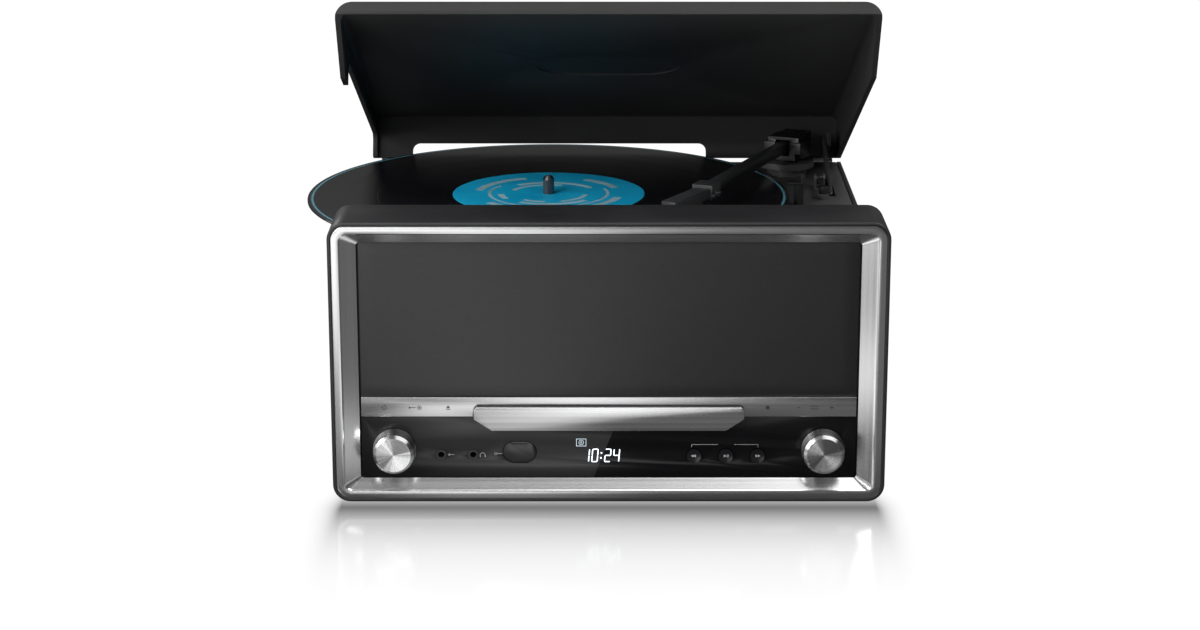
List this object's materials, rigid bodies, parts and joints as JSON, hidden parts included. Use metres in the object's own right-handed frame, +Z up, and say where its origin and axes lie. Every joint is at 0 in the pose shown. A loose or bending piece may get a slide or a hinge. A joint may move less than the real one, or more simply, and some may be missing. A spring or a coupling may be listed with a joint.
{
  "type": "stereo music centre",
  "caption": "Tabletop stereo music centre: record deck under a hinged lid, disc tray, cloth speaker panel in a silver frame, two turned knobs, round buttons and a display.",
  "frame": {"origin": "centre of the cabinet's footprint, on the surface that the four feet stand on", "axes": "+X to the right seen from the front, +Y to the back, +Z up"},
  "size_m": [0.344, 0.3585, 0.2769],
  "materials": {
    "black_satin": "satin black moulded plastic",
    "lid_black": "fine-textured black moulded plastic",
    "rubber": "matt",
    "steel": "plain",
    "bright_frame": "brushed",
    "board_black": "matt",
    "cloth": "fine woven speaker cloth",
    "cone_paper": "matt paper",
    "strip": "brushed along its length",
    "gloss_black": "high gloss",
    "knob_metal": "turned",
    "circuit": "solder mask",
    "dark_metal": "plain",
    "tray_plastic": "satin",
    "deck_grey": "satin grey",
    "mat_rubber": "ribbed",
    "brass": "plain",
    "vinyl": "grooved gloss",
    "label_blue": "printed paper",
    "arm_base_grey": "satin",
    "arm_dark": "satin",
    "arm_black": "satin",
    "copper_core": "laminated core"
  },
  "bodies": {
    "cabinet": {"cabinet_shell": "black_satin", "back_panel": "black_satin", "feet": "rubber", "panel_screws": "steel", "front_bezel": "bright_frame", "front_baffle": "board_black", "speaker_grille": "cloth", "grille_frame": "board_black", "speaker_baskets": "dark_metal", "speaker_cones": "cone_paper", "speaker_magnets": "steel", "control_strip": "strip", "fascia_panel": "gloss_black", "display_module": "board_black", "knob_encoders": "steel", "audio_in_jack": "board_black", "headphone_jack": "board_black", "usb_socket": "steel", "control_board": "circuit", "main_board": "circuit", "power_supply": "copper_core", "cd_chassis": "board_black", "cd_hub": "steel", "laser_sled": "dark_metal", "deck_plate": "deck_grey", "spindle_bush": "brass", "drive_belt": "rubber", "deck_motor": "steel", "tonearm_base": "arm_base_grey", "arm_rest": "arm_black", "cabinet_leaves": "steel", "mains_inlet": "board_black", "line_sockets": "steel"},
    "lid": {"lid_shell": "lid_black", "lid_leaves": "steel"},
    "stay": {"lid_stay": "steel"},
    "platter": {"platter": "dark_metal", "platter_mat": "mat_rubber", "spindle": "steel", "record_disc": "vinyl", "record_label": "label_blue"},
    "pulley": {"motor_pulley": "brass"},
    "arm_swing": {"tonearm_yoke": "arm_black"},
    "arm": {"tonearm_tube": "arm_dark", "counterweight": "arm_black", "headshell": "arm_dark", "cartridge": "arm_black"},
    "cue": {"cue_lever": "arm_black"},
    "source_dial": {"source_knob": "knob_metal", "source_shaft": "steel"},
    "volume_dial": {"volume_knob": "knob_metal", "volume_shaft": "steel"},
    "tray": {"cd_tray": "tray_plastic", "cd_door": "strip"},
    "flap": {"usb_flap": "board_black"},
    "previous_key": {"previous_button": "gloss_black"},
    "play_key": {"play_button": "gloss_black"},
    "next_key": {"next_button": "gloss_black"},
    "speed_slider": {"speed_switch": "arm_black"},
    "stop_slider": {"stop_switch": "arm_black"}
  },
  "joints": [
    {"name": "lid_hinge", "type": "hinge", "parent": "cabinet", "child": "lid", "pos_m": [0, 0.1665, 0.13], "axis": [1, 0, 0], "range_deg": [0, 23.4]},
    {"name": "lid_stay_pivot", "type": "hinge", "parent": "lid", "child": "stay", "pos_m": [0.1428, 0.13754, 0.14994], "axis": [1, 0, 0], "range_deg": [-35.6, 0]},
    {"name": "platter_spin", "type": "hinge", "parent": "cabinet", "child": "platter", "pos_m": [-0.037, 0.0395, 0.13], "axis": [0, 0, 1], "continuous": true},
    {"name": "pulley_spin", "type": "hinge", "parent": "cabinet", "child": "pulley", "pos_m": [-0.0964, -0.0199, 0.125], "axis": [0, 0, 1], "continuous": true},
    {"name": "tonearm_swing", "type": "hinge", "parent": "cabinet", "child": "arm_swing", "pos_m": [0.118, 0.1275, 0.14], "axis": [0, 0, 1], "range_deg": [-18, 22]},
    {"name": "tonearm_lift", "type": "hinge", "parent": "arm_swing", "child": "arm", "pos_m": [0.118, 0.1275, 0.15], "axis": [-0.9164, 0.4003, 0], "range_deg": [0, 2]},
    {"name": "cue_lever_turn", "type": "hinge", "parent": "cabinet", "child": "cue", "pos_m": [0.136, 0.0835, 0.137], "axis": [-1, 0, 0], "range_deg": [0, 25]},
    {"name": "source_dial_turn", "type": "hinge", "parent": "cabinet", "child": "source_dial", "pos_m": [-0.1215, -0.1565, 0.0335], "axis": [0, -1, 0], "continuous": true},
    {"name": "volume_dial_turn", "type": "hinge", "parent": "cabinet", "child": "volume_dial", "pos_m": [0.1215, -0.1565, 0.0335], "axis": [0, -1, 0], "continuous": true},
    {"name": "tray_slide", "type": "slide", "parent": "cabinet", "child": "tray", "axis": [0, -1, 0], "range_m": [0, 0.13]},
    {"name": "flap_hinge", "type": "hinge", "parent": "cabinet", "child": "flap", "pos_m": [-0.0505, -0.1567, 0.0256], "axis": [1, 0, 0], "range_deg": [0, 100]},
    {"name": "previous_press", "type": "slide", "parent": "cabinet", "child": "previous_key", "axis": [0, 1, 0], "range_m": [0, 0.0008], "stiffness_N_per_m": 300},
    {"name": "play_press", "type": "slide", "parent": "cabinet", "child": "play_key", "axis": [0, 1, 0], "range_m": [0, 0.0008], "stiffness_N_per_m": 300},
    {"name": "next_press", "type": "slide", "parent": "cabinet", "child": "next_key", "axis": [0, 1, 0], "range_m": [0, 0.0008], "stiffness_N_per_m": 300},
    {"name": "speed_slide", "type": "slide", "parent": "cabinet", "child": "speed_slider", "axis": [0, 1, 0], "range_m": [0, 0.015]},
    {"name": "stop_slide", "type": "slide", "parent": "cabinet", "child": "stop_slider", "axis": [0, 1, 0], "range_m": [0, 0.008]}
  ],
  "couplings": [
    {"joint": "lid_stay_pivot", "follows": "lid_hinge", "ratio": -1.513},
    {"joint": "pulley_spin", "follows": "platter_spin", "ratio": 14},
    {"joint": "tonearm_lift", "follows": "cue_lever_turn", "ratio": 0.08}
  ]
}
